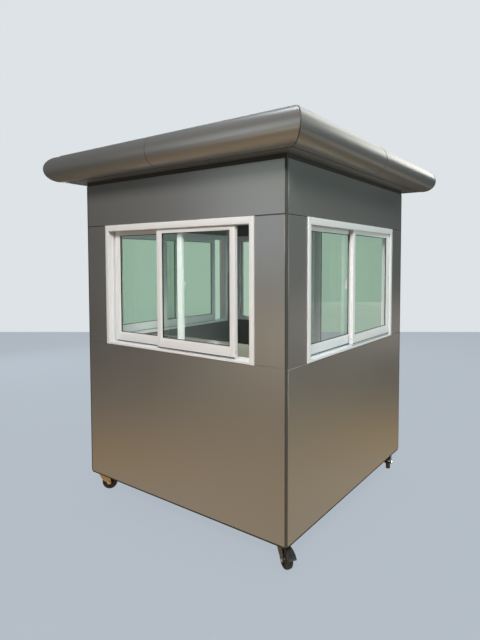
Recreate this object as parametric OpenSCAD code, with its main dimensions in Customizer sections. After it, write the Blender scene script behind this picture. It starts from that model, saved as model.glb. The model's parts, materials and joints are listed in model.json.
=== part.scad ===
/* [Booth] */
// Width of the cabin over the cladding, side to side
booth_w = 1600; // [1350:10:2400]
// Depth of the cabin over the cladding, front to back
booth_d = 1600; // [1350:10:2400]
// Height of the cladding, from its bottom edge to the soffit
wall_h = 1970; // [1900:10:2400]
// Thickness of a wall, cladding sheet included
wall_t = 60; // [50:1:90]
// Thickness of the cladding sheet
skin_t = 4; // [2:0.5:6]
// Width of the dark joint that one sheet leaves at a corner
corner_gap = 12; // [3:1:20]
// Width of a horizontal joint between two sheets
seam_gap = 4; // [2:0.5:8]

/* [Base] */
// Height of the base rails, floor frame included
base_h = 60; // [40:5:100]
// Width of a base rail
base_rail_w = 84; // [70:1:110]
// Thickness of the floor board
floor_t = 18; // [12:1:30]
// Number of joists under the floor
joists = 2; // [1:1:4]
// Drop of the cladding past which the base rails stay hidden
skin_lift = 4; // [2:1:10]

/* [Windows] */
// Width of a window over its frame
win_w = 1200; // [900:10:1220]
// Height of a window over its frame
win_h = 768; // [600:1:860]
// Height of a window's lower edge above the cladding's bottom edge
win_sill = 907; // [850:1:1000]
// Face width of a window jamb
jamb_w = 28; // [20:1:40]
// Face height of a window head
head_h = 38; // [25:1:50]
// Face height of a window sill
sill_h = 20; // [15:1:35]
// How far a window frame stands out of the cladding
win_proud = 6; // [2:1:12]
// Depth of a window frame
win_depth = 70; // [66:1:90]
// Overlap of the two sashes where they meet
sash_overlap = 56; // [40:1:70]
// Thickness of a sash
sash_t = 23; // [18:1:26]
// Face width of a sash stile
stile_w = 40; // [30:1:55]
// Face height of a sash's bottom rail
bottom_rail_h = 58; // [40:1:70]
// Face height of a sash's top rail
top_rail_h = 27; // [20:1:40]
// Thickness of the glass
glass_t = 5; // [4:1:8]
// How far the front window's outer sash stands open
front_open = 105; // [0:5:400]
// How far the front window's inner sash is off its jamb
front_inner_open = 17; // [0:1:60]
// How far the left window's inner sash stands open
left_open = 140; // [0:5:400]

/* [Door] */
// Width of the doorway over its frame
door_w = 706; // [640:2:760]
// Gap round the door leaf
door_gap = 5; // [5:0.5:8]
// Thickness of the door leaf
leaf_t = 40; // [35:1:50]
// Face width of the door's stiles and top rail
leaf_stile_w = 55; // [45:1:80]
// Face height of the door's kick panel
kick_h = 300; // [200:10:600]
// Height of the threshold over the floor
threshold_h = 6; // [2:1:15]
// Radius of a hinge knuckle
knuckle_r = 8; // [7:0.5:12]
// Radius of the hinge pin
hinge_pin_r = 4; // [3:0.5:5]

/* [Roof] */
// Radius of the roof's rounded edge
nose_r = 83; // [60:1:120]
// Distance from the cladding to the centre of the rounded edge
nose_out = 110; // [60:5:160]
// Thickness of the fascia, soffit and ceiling sheets
sheet_t = 4; // [3:0.5:6]
// Flat flange that carries the fascia on each side of its round
flange_w = 26; // [15:1:40]
// Height of the dark rail under the soffit
head_rail_h = 25; // [20:1:60]
// Thickness of the roof sheet
roof_t = 3; // [2:0.5:6]
// Edge of the roof sheet past the centre of the rounded edge
roof_lap = 8; // [0:1:20]
// Joint between two lengths of fascia
fascia_gap = 3; // [1:0.5:6]

/* [Worktop] */
// Depth of the worktop behind the front wall
top_d = 500; // [350:10:600]
// Thickness of the worktop
top_t = 25; // [18:1:40]
// Gap between the worktop's upper face and the window's lower edge
top_drop = 15; // [5:1:40]

/* [Casters] */
// Diameter of a caster wheel
wheel_d = 100; // [80:5:105]
// Width of a caster wheel
wheel_w = 32; // [25:1:36]
// Height of a caster from the ground to the base rails
caster_h = 130; // [130:1:160]
// Distance from the cladding to a caster's swivel axis
caster_inset = 60; // [55:1:90]
// Horizontal offset of the wheel axle from the swivel axis
trail = 38; // [30:1:45]
// Side of a caster's mounting plate
plate_s = 100; // [90:1:110]
// Thickness of a caster's mounting plate
plate_t = 4; // [3:0.5:6]
// Radius of the wheel axle
axle_r = 6; // [5:0.5:8]
// Swivel angle of the front left caster
turn_front_left = 35; // [-180:5:180]
// Swivel angle of the front right caster
turn_front_right = -30; // [-180:5:180]
// Swivel angle of the back right caster
turn_back_right = -70; // [-180:5:180]
// Swivel angle of the back left caster
turn_back_left = 160; // [-180:5:180]

/* [Hidden] */

PANEL = "#8b8880";
DARK = "#3c3c39";
WHITE = "#e8e5e4";
PALE = "#a3a39c";
ZINC = "#b59a5a";

// Levels
skirt_z = caster_h;
base_top = skirt_z + base_h;
floor_top = base_top + floor_t;
wall_top = skirt_z + wall_h;
win_z0 = skirt_z + win_sill;
win_z1 = win_z0 + win_h;
rail_z = wall_top - head_rail_h;
nose_top = wall_top + 2 * nose_r;
core_t = wall_t - skin_t;

// Sliding windows
win_in_w = win_w - 2 * jamb_w;
win_in_z0 = win_z0 + sill_h;
win_in_h = win_h - sill_h - head_h;
sash_w = (win_in_w + sash_overlap) / 2;
outer_track = 8;
track_gap = 8;
inner_track = outer_track + sash_t + track_gap;
latch_share = 0.54;
latch_z = win_in_z0 + win_in_h * latch_share;

// Doorway and the fixed window beside it, on the back wall
door_jamb_w = 24;
back_half = booth_w / 2 - wall_t;
door_x0 = -back_half;
door_x1 = door_x0 + door_w;
door_head_h = 30;
leaf_x0 = door_x0 + door_jamb_w + door_gap;
leaf_x1 = door_x1 - door_jamb_w - door_gap;
leaf_z0 = floor_top + threshold_h + door_gap;
leaf_z1 = rail_z - door_head_h - door_gap;
door_proud = win_proud;
hinge_x = leaf_x1 + door_gap / 2;
hinge_out = 0.5;
hinge_y = -door_proud - hinge_out - knuckle_r;
hinge_len = 40;
hinge_clear = 0.5;
hinge_plate_t = 3;
hinge_plate_w = 24;
hinge_from_end = 180;
hinge_zs = [leaf_z0 + hinge_from_end, (leaf_z0 + leaf_z1) / 2, leaf_z1 - hinge_from_end];
pin_clear = 0.05;
handle_h = 1000;
handle_z = floor_top + handle_h;

// Casters
crown_t = 6;
crown_gap = 0.3;
raceway_h = 8;
raceway_r = 30;
kingpin_r = 8;
kingpin_head_r = 13;
kingpin_head_h = 5;
leg_t = 3;
leg_clear = 5;
leg_in = wheel_w / 2 + leg_clear;
leg_out = leg_in + leg_t;
crown_z = skirt_z - plate_t - raceway_h - crown_gap - crown_t;
hub_r = 14;
hub_gap = 0.5;
crown_back = 26;
crown_front = 34;
rib_drop = 8;
boss_r = 13;
nut_r = 9;
nut_h = 6;
pedal_start = 20;
tread_round = 6;
rim_step = 4;
caster_spots = [
    [-1, -1, turn_front_left], [1, -1, turn_front_right],
    [1, 1, turn_back_right], [-1, 1, turn_back_left]
];

// A box between two corners
module block(lo, hi) {
    translate(lo)
        cube(hi - lo);
}

// Wall frames: x runs along the wall as seen from outside, y goes inward from the cladding
module on_front() { translate([0, -booth_d / 2, 0]) children(); }
module on_right() { rotate(90) translate([0, -booth_w / 2, 0]) children(); }
module on_back() { rotate(180) translate([0, -booth_d / 2, 0]) children(); }
module on_left() { rotate(270) translate([0, -booth_w / 2, 0]) children(); }

// Cladding sheet in front of a core: each pair is [from, to]
module clad_panel(core_x, core_z, skin_x, skin_z) {
    union() {
        block([core_x[0], skin_t, core_z[0]], [core_x[1], wall_t, core_z[1]]);
        block([skin_x[0], 0, skin_z[0]], [skin_x[1], skin_t, skin_z[1]]);
    }
}

// ---- Base and floor ----

module side_base_rails() {
    x_out = booth_w / 2 - skin_t;
    y_out = booth_d / 2 - skin_t;
    color(DARK)
        for (turn = [0, 180])
            rotate(turn)
                block([x_out - base_rail_w, -y_out, skirt_z], [x_out, y_out, base_top]);
}

module cross_base_rails() {
    x_in = booth_w / 2 - skin_t - base_rail_w;
    y_out = booth_d / 2 - skin_t;
    y_in = y_out - base_rail_w;
    joist_w = 50;
    color(DARK) {
        for (s = [0, 180])
            rotate(s)
                block([-x_in, y_in, skirt_z], [x_in, y_out, base_top]);
        for (i = [1:joists]) {
            y = -y_in + 2 * y_in * i / (joists + 1);
            block([-x_in, y - joist_w / 2, skirt_z], [x_in, y + joist_w / 2, base_top]);
        }
    }
}

module floor_board() {
    x = booth_w / 2 - wall_t;
    y = booth_d / 2 - wall_t;
    color("#77736b")
        block([-x, -y, base_top], [x, y, floor_top]);
}

module corner_posts() {
    color(DARK)
        for (sx = [-1, 1], sy = [-1, 1])
            translate([sx * (booth_w / 2 - skin_t - core_t / 2), sy * (booth_d / 2 - skin_t - core_t / 2), 0])
                block([-core_t / 2, -core_t / 2, base_top], [core_t / 2, core_t / 2, wall_top]);
}

module head_rails() {
    color(DARK) {
        on_front() head_rail(booth_w);
        on_right() head_rail(booth_d);
        on_back() head_rail(booth_w);
        on_left() head_rail(booth_d);
    }
}

module head_rail(span) {
    x = span / 2 - wall_t;
    block([-x, skin_t, rail_z], [x, wall_t, wall_top]);
}

// ---- Walls with a sliding window in the middle ----

module lower_panel(span) {
    core = span / 2 - wall_t;
    skin = span / 2 - corner_gap;
    color(PANEL)
        clad_panel([-core, core], [base_top, win_z0], [-skin, skin], [skirt_z + skin_lift, win_z0 - seam_gap / 2]);
}

module side_panels(span) {
    core = span / 2 - wall_t;
    skin = span / 2 - corner_gap;
    color(PANEL)
        for (s = [0, 1])
            mirror([s, 0, 0])
                clad_panel([win_w / 2, core], [win_z0, win_z1],
                    [win_w / 2, skin], [win_z0 + seam_gap / 2, win_z1 - seam_gap / 2]);
}

module upper_panel(span) {
    core = span / 2 - wall_t;
    skin = span / 2 - corner_gap;
    color(PANEL)
        clad_panel([-core, core], [win_z1, rail_z], [-skin, skin], [win_z1 + seam_gap / 2, rail_z]);
}

module front_lower_panel() { on_front() lower_panel(booth_w); }
module front_side_panels() { on_front() side_panels(booth_w); }
module front_upper_panel() { on_front() upper_panel(booth_w); }
module right_lower_panel() { on_right() lower_panel(booth_d); }
module right_side_panels() { on_right() side_panels(booth_d); }
module right_upper_panel() { on_right() upper_panel(booth_d); }
module left_lower_panel() { on_left() lower_panel(booth_d); }
module left_side_panels() { on_left() side_panels(booth_d); }
module left_upper_panel() { on_left() upper_panel(booth_d); }

// ---- Back wall: doorway on the left as seen from outside, fixed window on the right ----

module back_lower_panel() {
    color(PANEL)
        on_back()
            clad_panel([door_x1, back_half], [base_top, win_z0],
                [door_x1, booth_w / 2 - corner_gap], [skirt_z + skin_lift, win_z0 - seam_gap / 2]);
}

// Strips over the corner posts and the apron under the door
module back_side_panels() {
    skin = booth_w / 2 - corner_gap;
    color(PANEL)
        on_back() {
            block([-skin, 0, base_top + seam_gap / 2], [door_x0, skin_t, rail_z]);
            block([-skin, 0, skirt_z + skin_lift], [door_x1 - seam_gap, skin_t, base_top - seam_gap / 2]);
            block([back_half, 0, win_z0 + seam_gap / 2], [skin, skin_t, win_z1 - seam_gap / 2]);
        }
}

module back_upper_panel() {
    color(PANEL)
        on_back()
            clad_panel([door_x1, back_half], [win_z1, rail_z],
                [door_x1, booth_w / 2 - corner_gap], [win_z1 + seam_gap / 2, rail_z]);
}

// ---- Windows ----

module window_frame(w) {
    color(WHITE)
        difference() {
            block([-w / 2, -win_proud, win_z0], [w / 2, win_depth - win_proud, win_z1]);
            block([-w / 2 + jamb_w, -win_proud - 1, win_in_z0],
                [w / 2 - jamb_w, win_depth - win_proud + 1, win_in_z0 + win_in_h]);
        }
}

module sash_ring(x0) {
    difference() {
        block([x0, 0, win_in_z0], [x0 + sash_w, sash_t, win_in_z0 + win_in_h]);
        block([x0 + stile_w, -1, win_in_z0 + bottom_rail_h],
            [x0 + sash_w - stile_w, sash_t + 1, win_in_z0 + win_in_h - top_rail_h]);
    }
}

module sash_pane(x0) {
    block([x0 + stile_w, (sash_t - glass_t) / 2, win_in_z0 + bottom_rail_h],
        [x0 + sash_w - stile_w, (sash_t + glass_t) / 2, win_in_z0 + win_in_h - top_rail_h]);
}

// Left edges of the two sashes, seen from outside
function inner_x(open) = -win_in_w / 2 + open;
function outer_x(open) = win_in_w / 2 - sash_w - open;

module window_sashes(inner_open, outer_open) {
    color(WHITE) {
        translate([0, inner_track, 0])
            sash_ring(inner_x(inner_open));
        translate([0, outer_track, 0])
            sash_ring(outer_x(outer_open));
    }
}

module sash_panes(inner_open, outer_open) {
    translate([0, inner_track, 0])
        sash_pane(inner_x(inner_open));
    translate([0, outer_track, 0])
        sash_pane(outer_x(outer_open));
}

// Crescent latch on the room side of the inner sash's meeting stile
module window_latch(inner_open) {
    latch_l = 70;
    latch_w = 16;
    latch_t = 10;
    x = inner_x(inner_open) + sash_w - stile_w / 2;
    y = inner_track + sash_t;
    translate([x, y, latch_z]) {
        block([-latch_w / 2, 0, -latch_l / 2], [latch_w / 2, latch_t, latch_l / 2]);
        translate([0, latch_t, 0])
            rotate([-90, 0, 0])
                cylinder(r = latch_w / 2, h = latch_t, $fn = 48);
    }
}

module front_window_frame() { on_front() window_frame(win_w); }
module front_window_sashes() { on_front() window_sashes(front_inner_open, front_open); }
module right_window_frame() { on_right() window_frame(win_w); }
module right_window_sashes() { on_right() window_sashes(0, 0); }
module left_window_frame() { on_left() window_frame(win_w); }
module left_window_sashes() { on_left() window_sashes(left_open, 0); }

module window_latches() {
    color(WHITE) {
        on_front() window_latch(front_inner_open);
        on_right() window_latch(0);
        on_left() window_latch(left_open);
    }
}

back_win_w = back_half - door_x1;
back_win_x = (back_half + door_x1) / 2;

module back_window_frame() {
    on_back()
        translate([back_win_x, 0, 0])
            window_frame(back_win_w);
}

// Both panes of each sliding window and the fixed pane of the back window
module window_glass() {
    half = back_win_w / 2 - jamb_w;
    color("#bcd8cf", 0.35) {
        on_front() sash_panes(front_inner_open, front_open);
        on_right() sash_panes(0, 0);
        on_left() sash_panes(left_open, 0);
        on_back()
            translate([back_win_x, inner_track, 0])
                block([-half, 0, win_in_z0], [half, glass_t, win_in_z0 + win_in_h]);
    }
}

// ---- Door ----

// One hinge leaf with its knuckle: side is -1 on the door leaf and 1 on the frame
module hinge_half(side, z0, z1, bore) {
    translate([hinge_x, hinge_y, z0])
        difference() {
            union() {
                cylinder(r = knuckle_r, h = z1 - z0, $fn = 64);
                mirror([side < 0 ? 1 : 0, 0, 0])
                    block([0, knuckle_r + hinge_out - hinge_plate_t, 0],
                        [hinge_plate_w, knuckle_r + hinge_out, z1 - z0]);
            }
            if (bore)
                translate([0, 0, -1])
                    cylinder(r = hinge_pin_r + pin_clear, h = z1 - z0 + 2, $fn = 64);
        }
}

module door_frame() {
    z_top = rail_z;
    color(WHITE)
        on_back() {
            union() {
                difference() {
                    block([door_x0, -door_proud, base_top], [door_x1, wall_t, z_top]);
                    block([door_x0 + door_jamb_w, -door_proud - 1, floor_top + threshold_h],
                        [door_x1 - door_jamb_w, wall_t + 1, z_top - door_head_h]);
                }
                for (z = hinge_zs) {
                    hinge_frame_side(z);
                }
            }
        }
}

// Lower and upper knuckle on the frame, joined by the pin
module hinge_frame_side(z) {
    half = hinge_len / 2;
    for (s = [0, 1])
        translate([0, 0, z])
            mirror([0, 0, s])
                hinge_half(1, half + hinge_clear, half + hinge_len, false);
    translate([hinge_x, hinge_y, z - half - hinge_clear])
        cylinder(r = hinge_pin_r, h = hinge_len + 2 * hinge_clear, $fn = 64);
}

module door_leaf() {
    glass_z0 = leaf_z0 + kick_h;
    color(WHITE)
        on_back()
            union() {
                difference() {
                    block([leaf_x0, -door_proud, leaf_z0], [leaf_x1, leaf_t - door_proud, leaf_z1]);
                    block([leaf_x0 + leaf_stile_w, -door_proud - 1, glass_z0],
                        [leaf_x1 - leaf_stile_w, leaf_t, leaf_z1 - leaf_stile_w]);
                }
                for (z = hinge_zs)
                    hinge_half(-1, z - hinge_len / 2, z + hinge_len / 2, true);
            }
}

module door_glass() {
    y = leaf_t / 2 - door_proud;
    color("#bcd8cf", 0.35)
        on_back()
            block([leaf_x0 + leaf_stile_w, y - glass_t / 2, leaf_z0 + kick_h],
                [leaf_x1 - leaf_stile_w, y + glass_t / 2, leaf_z1 - leaf_stile_w]);
}

// A pull handle on each face of the leaf
module door_handles() {
    grip_r = 8;
    grip_l = 200;
    stand_off = 40;
    x = leaf_x0 + leaf_stile_w / 2;
    color("#b9bab8")
        on_back()
            for (side = [0, 1])
                translate([x, side * leaf_t - door_proud, handle_z])
                    mirror([0, 1 - side, 0])
                        pull_handle(grip_r, grip_l, stand_off);
}

module pull_handle(grip_r, grip_l, stand_off) {
    post_z = grip_l / 2 - 25;
    union() {
        translate([0, stand_off, -grip_l / 2])
            cylinder(r = grip_r, h = grip_l, $fn = 48);
        for (z = [-post_z, post_z])
            translate([0, 0, z])
                rotate([-90, 0, 0])
                    cylinder(r = grip_r * 0.8, h = stand_off, $fn = 48);
    }
}

// ---- Roof ----

// Outline of a fascia: x outward from the cladding, y up from the soffit
module fascia_outline() {
    r_in = nose_r - sheet_t;
    translate([nose_out, nose_r])
        intersection() {
            difference() {
                circle(r = nose_r, $fn = 96);
                circle(r = r_in, $fn = 96);
            }
            translate([0, -nose_r])
                square([nose_r, 2 * nose_r]);
        }
    for (y = [0, 2 * nose_r - sheet_t])
        translate([nose_out - flange_w, y])
            square([flange_w, sheet_t]);
}

// Two lengths of fascia on one side of the booth, mitred at the corners
module side_fascia(span) {
    far = span / 2 + nose_out + nose_r;
    for (s = [0, 1])
        mirror([s, 0, 0])
            intersection() {
                translate([fascia_gap / 2, 0, wall_top])
                    rotate([90, 0, 90])
                        mirror([1, 0, 0])
                            linear_extrude(height = far)
                                fascia_outline();
                mitre(span);
            }
}

// Everything on the inner side of the two corner mitres of one side
module mitre(span) {
    far = nose_out + nose_r + 10;
    half = span / 2 - fascia_gap;
    translate([0, 0, wall_top - 1])
        linear_extrude(height = 2 * nose_r + 2)
            polygon([[0, flange_w], [half - flange_w, flange_w], [half + far, -far], [0, -far]]);
}

module fascia() {
    color(PANEL) {
        on_front() side_fascia(booth_w);
        on_right() side_fascia(booth_d);
        on_back() side_fascia(booth_w);
        on_left() side_fascia(booth_d);
    }
}

// Four mitred boards from the walls' inner faces to the fascia flanges
module soffit() {
    color(PANEL) {
        on_front() soffit_board(booth_w);
        on_right() soffit_board(booth_d);
        on_back() soffit_board(booth_w);
        on_left() soffit_board(booth_d);
    }
}

module soffit_board(span) {
    out = nose_out - flange_w;
    x_in = span / 2 - wall_t - fascia_gap / 2;
    x_out = span / 2 + out - fascia_gap / 2;
    translate([0, 0, wall_top])
        linear_extrude(height = sheet_t)
            polygon([[-x_in, wall_t], [x_in, wall_t], [x_out, -out], [-x_out, -out]]);
}

module ceiling() {
    x = booth_w / 2 - wall_t;
    y = booth_d / 2 - wall_t;
    color(PALE)
        block([-x, -y, wall_top], [x, y, wall_top + sheet_t]);
}

// Beams over the walls that carry the roof sheet
module roof_beams() {
    z0 = wall_top + sheet_t;
    z1 = nose_top;
    x = booth_w / 2;
    y = booth_d / 2;
    gap = 2;
    color(DARK) {
        for (s = [0, 180])
            rotate(s)
                block([x - wall_t, -y, z0], [x, y, z1]);
        for (s = [0, 180])
            rotate(s)
                block([-x + wall_t + gap, y - wall_t, z0], [x - wall_t - gap, y, z1]);
        block([-x + wall_t + gap, -wall_t / 2, z0], [x - wall_t - gap, wall_t / 2, z1]);
    }
}

module roof_sheet() {
    x = booth_w / 2 + nose_out + roof_lap;
    y = booth_d / 2 + nose_out + roof_lap;
    color(PALE)
        block([-x, -y, nose_top], [x, y, nose_top + roof_t]);
}

// ---- Worktop ----

module worktop() {
    x = booth_w / 2 - wall_t;
    y = -booth_d / 2 + wall_t;
    z = win_z0 - top_drop;
    color("#857e6a")
        block([-x, y, z - top_t], [x, y + top_d, z]);
}

// ---- Casters ----

// Places a caster part at corner i, turned on its swivel axis
module at_caster(i, turned = true) {
    spot = caster_spots[i];
    translate([spot[0] * (booth_w / 2 - caster_inset), spot[1] * (booth_d / 2 - caster_inset), 0])
        rotate(turned ? spot[2] : 0)
            children();
}

module caster_plates() {
    color(ZINC)
        for (i = [0:3])
            at_caster(i, false)
                caster_plate();
}

module caster_plate() {
    z = skirt_z - plate_t;
    crown_bottom = crown_z - crown_gap;
    half = plate_s / 2;
    union() {
        block([-half, -half, z], [half, half, skirt_z]);
        translate([0, 0, z - raceway_h])
            cylinder(r = raceway_r, h = raceway_h, $fn = 96);
        translate([0, 0, crown_bottom])
            cylinder(r = kingpin_r, h = z - crown_bottom, $fn = 64);
        translate([0, 0, crown_bottom - kingpin_head_h])
            cylinder(r = kingpin_head_r, h = kingpin_head_h, $fn = 64);
    }
}

// Side view of a fork leg: x along the trail, y up
module leg_outline() {
    axle_z = wheel_d / 2;
    top = crown_z + crown_t;
    rib_z = crown_z - rib_drop;
    union() {
        translate([trail, axle_z])
            circle(r = boss_r, $fn = 64);
        polygon([[-crown_back, top], [-crown_back, rib_z], [trail - boss_r, axle_z],
            [trail + boss_r, axle_z], [crown_front, rib_z], [crown_front, top]]);
    }
}

// Brake pedal over the wheel: x along the trail, y up
module pedal_outline() {
    top = crown_z + crown_t;
    polygon([[pedal_start, top], [70, top - 4], [104, top - 16], [116, top - 36],
        [112, top - 37], [100, top - 20], [68, top - 8], [pedal_start, top - 4]]);
}

module fork(i) {
    color(i == 0 ? ZINC : "#2a2a2a")
        at_caster(i)
            union() {
                difference() {
                    translate([0, 0, crown_z])
                        union() {
                            cylinder(r = leg_out + 4, h = crown_t, $fn = 96);
                            block([-crown_back, -leg_out, 0], [crown_front, leg_out, crown_t]);
                        }
                    translate([0, 0, crown_z - 1])
                        cylinder(r = kingpin_r + pin_clear, h = crown_t + 2, $fn = 64);
                }
                for (s = [0, 1])
                    mirror([0, s, 0])
                        translate([0, leg_out, 0])
                            rotate([90, 0, 0])
                                linear_extrude(height = leg_t)
                                    leg_outline();
                translate([0, leg_in, 0])
                    rotate([90, 0, 0])
                        linear_extrude(height = 2 * leg_in)
                            pedal_outline();
                translate([trail, 0, wheel_d / 2])
                    rotate([90, 0, 0]) {
                        cylinder(r = axle_r, h = 2 * leg_out, center = true, $fn = 64);
                        for (s = [0, 1])
                            mirror([0, 0, s])
                                translate([0, 0, leg_out])
                                    cylinder(r = nut_r, h = nut_h, $fn = 64);
                    }
            }
}

module front_left_fork() { fork(0); }
module front_right_fork() { fork(1); }
module back_right_fork() { fork(2); }
module back_left_fork() { fork(3); }

// Half section of a wheel: x is the radius, y the axis
module wheel_outline() {
    r = wheel_d / 2;
    half = wheel_w / 2;
    hub_half = leg_in - hub_gap;
    web = half - rim_step;
    shoulder = half - tread_round;
    rim_in = r * 0.66;
    rim_out = r * 0.72;
    polygon([[axle_r + pin_clear, -hub_half], [hub_r, -hub_half], [hub_r, -web], [rim_in, -web],
        [rim_out, -half], [r - tread_round, -half], [r, -shoulder], [r, shoulder],
        [r - tread_round, half], [rim_out, half], [rim_in, web], [hub_r, web],
        [hub_r, hub_half], [axle_r + pin_clear, hub_half]]);
}

module wheel(i) {
    color("#1f1f1f")
        at_caster(i)
            translate([trail, 0, wheel_d / 2])
                rotate([90, 0, 0])
                    rotate_extrude($fn = 96)
                        wheel_outline();
}

module front_left_wheel() { wheel(0); }
module front_right_wheel() { wheel(1); }
module back_right_wheel() { wheel(2); }
module back_left_wheel() { wheel(3); }

side_base_rails();
cross_base_rails();
floor_board();
corner_posts();
front_lower_panel();
front_side_panels();
front_upper_panel();
right_lower_panel();
right_side_panels();
right_upper_panel();
left_lower_panel();
left_side_panels();
left_upper_panel();
back_lower_panel();
back_side_panels();
back_upper_panel();
head_rails();
front_window_frame();
right_window_frame();
left_window_frame();
back_window_frame();
front_window_sashes();
right_window_sashes();
left_window_sashes();
window_glass();
window_latches();
door_frame();
door_leaf();
door_glass();
door_handles();
soffit();
ceiling();
roof_beams();
roof_sheet();
fascia();
worktop();
caster_plates();
front_left_fork();
front_right_fork();
back_right_fork();
back_left_fork();
front_left_wheel();
front_right_wheel();
back_right_wheel();
back_left_wheel();
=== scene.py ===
# %% [markdown]
# # A guard booth on casters
# The booth is a square cabin clad in satin grey sheet, with white sliding windows, a glazed
# back door and a flat roof whose edge is one big half round. This script loads the working
# model of the booth, builds the detailed pieces over it, gives every piece a finish, and sets
# the camera and the lights.

# %% Load the working model
import json
import math

import bpy
import numpy as np
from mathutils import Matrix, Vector


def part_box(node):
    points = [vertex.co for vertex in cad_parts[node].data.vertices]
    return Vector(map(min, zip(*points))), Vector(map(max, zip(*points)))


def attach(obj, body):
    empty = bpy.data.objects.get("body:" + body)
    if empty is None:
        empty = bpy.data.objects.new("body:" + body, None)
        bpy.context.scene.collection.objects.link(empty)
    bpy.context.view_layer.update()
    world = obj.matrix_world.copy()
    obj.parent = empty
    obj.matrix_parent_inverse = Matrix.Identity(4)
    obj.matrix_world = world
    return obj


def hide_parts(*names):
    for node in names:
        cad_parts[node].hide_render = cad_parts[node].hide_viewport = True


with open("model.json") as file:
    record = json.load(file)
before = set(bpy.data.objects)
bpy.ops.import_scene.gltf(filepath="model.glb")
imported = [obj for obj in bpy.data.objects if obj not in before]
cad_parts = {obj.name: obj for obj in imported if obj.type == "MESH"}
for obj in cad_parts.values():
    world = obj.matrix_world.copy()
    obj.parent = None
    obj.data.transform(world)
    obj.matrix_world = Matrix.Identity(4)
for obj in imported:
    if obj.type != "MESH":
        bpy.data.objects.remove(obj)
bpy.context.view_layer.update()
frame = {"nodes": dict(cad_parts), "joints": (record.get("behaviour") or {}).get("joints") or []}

# %% [markdown]
# ## Grids of points
# Nearly every piece here is a grid: one direction runs round a section, the other along a
# path. A grid keeps a shape down to one formula, and the faces come from the numbering alone.

# %% Faces of a grid
def grid_faces(rows, columns, wrap_rows=False, wrap_columns=False):
    """Four-sided faces between neighbours of a grid whose points are numbered row by row.
    Wrapping joins the last row or column back to the first."""
    i = np.arange(rows if wrap_rows else rows - 1)
    j = np.arange(columns if wrap_columns else columns - 1)
    i, j = np.meshgrid(i, j, indexing="ij")
    down, right = (i + 1) % rows, (j + 1) % columns
    corners = [i * columns + j, down * columns + j, down * columns + right, i * columns + right]
    return np.stack(corners, axis=-1).reshape(-1, 4)


def end_caps(rows, columns):
    """One many-sided face over the first row of a grid and one over the last."""
    first = np.arange(columns)[None, ::-1]
    last = (rows - 1) * columns + np.arange(columns)[None, :]
    return [first, last]


def volume(points, faces):
    """Signed volume of a closed mesh: the sum of the wedges from the origin to each face."""
    total = 0.0
    for block in faces:
        first = points[block[:, 0]]
        for k in range(1, block.shape[1] - 1):
            cross = np.cross(points[block[:, k]], points[block[:, k + 1]])
            total += float((first * cross).sum()) / 6
    return total


# %% [markdown]
# ## From parts to a piece
# A real window sash is four bars, a bead and a rubber gasket, and they move as one. So each
# piece is joined from closed parts, each with its own finish. A part whose volume comes out
# negative is inside out, and its faces are turned round.

# %% Join parts into one object
def piece(name, parts, body="root", slot=None, stands_for=(), sharp=40):
    """Makes one object at the origin from parts of the form (points, faces, material)."""
    points, faces, finish, materials, start = [], [], [], [], 0
    for part_points, part_faces, material in parts:
        inside_out = volume(part_points, part_faces) < 0
        if material not in materials:
            materials.append(material)
        for block in part_faces:
            turned = block[:, ::-1] if inside_out else block
            faces += (turned + start).tolist()
            finish += [materials.index(material)] * len(block)
        points.append(part_points)
        start += len(part_points)
    mesh = bpy.data.meshes.new(name)
    mesh.from_pydata(np.concatenate(points).tolist(), [], faces)
    for material in materials:
        mesh.materials.append(material)
    mesh.polygons.foreach_set("material_index", finish)
    mesh.shade_smooth()
    mesh.set_sharp_from_angle(angle=math.radians(sharp))
    mesh.update()
    made = bpy.data.objects.new(name, mesh)
    bpy.context.scene.collection.objects.link(made)
    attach(made, body)
    if stands_for:
        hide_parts(*stands_for)
    print(f"{name}: {len(parts)} parts, {len(faces)} faces")
    return made


def moved(parts, change):
    """The same parts with their points put through a change of place."""
    return [(change(points), faces, material) for points, faces, material in parts]


# %% [markdown]
# ## Sections and sweeps
# A pressed or extruded bar has a section with small rounded corners, and the round is what
# catches the light. `rounded` turns a plain outline into one with arcs, and the sweeps below
# carry it along a line, round a rectangle or about an axis.

# %% Rounded outlines
def curve(a, b, c, t):
    """A quadratic curve from a to c that leaves and arrives along the lines to b."""
    return (1 - t) ** 2 * a + 2 * t * (1 - t) * b + t ** 2 * c


def arc(radius, centre, start, stop, count):
    """Points c + r (cos t, sin t), with the first and the last angle given in half turns."""
    t = np.linspace(start * np.pi, stop * np.pi, count)
    return np.stack([centre[0] + radius * np.cos(t), centre[1] + radius * np.sin(t)], axis=1)


def rounded(outline, radius, steps=3):
    """An outline with each corner replaced by a quadratic curve between two points on its sides,
    which lie r / tan(half angle) from the corner, as the ends of an arc of radius r would."""
    corner = np.asarray(outline, float)
    before, after = np.roll(corner, 1, axis=0) - corner, np.roll(corner, -1, axis=0) - corner
    long_before = np.linalg.norm(before, axis=1, keepdims=True)
    long_after = np.linalg.norm(after, axis=1, keepdims=True)
    before, after = before / long_before, after / long_after
    half = np.arccos(np.clip((before * after).sum(axis=1), -1, 1)) / 2
    radii = np.broadcast_to(np.asarray(radius, float), half.shape)
    reach = np.minimum(radii / np.tan(half), 0.48 * np.minimum(long_before, long_after)[:, 0])
    start, stop = corner + before * reach[:, None], corner + after * reach[:, None]
    t = np.linspace(0, 1, steps + 1)[None, :, None]
    return curve(start[:, None], corner[:, None], stop[:, None], t).reshape(-1, 2)


def square(p0, q0, p1, q1):
    """The four corners of a rectangle, from two opposite ones."""
    return [(p0, q0), (p1, q0), (p1, q1), (p0, q1)]


def rectangle(p0, q0, p1, q1, radius=0.001, steps=3):
    """A rectangle with rounded corners."""
    return rounded(square(p0, q0, p1, q1), radius, steps)


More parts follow.
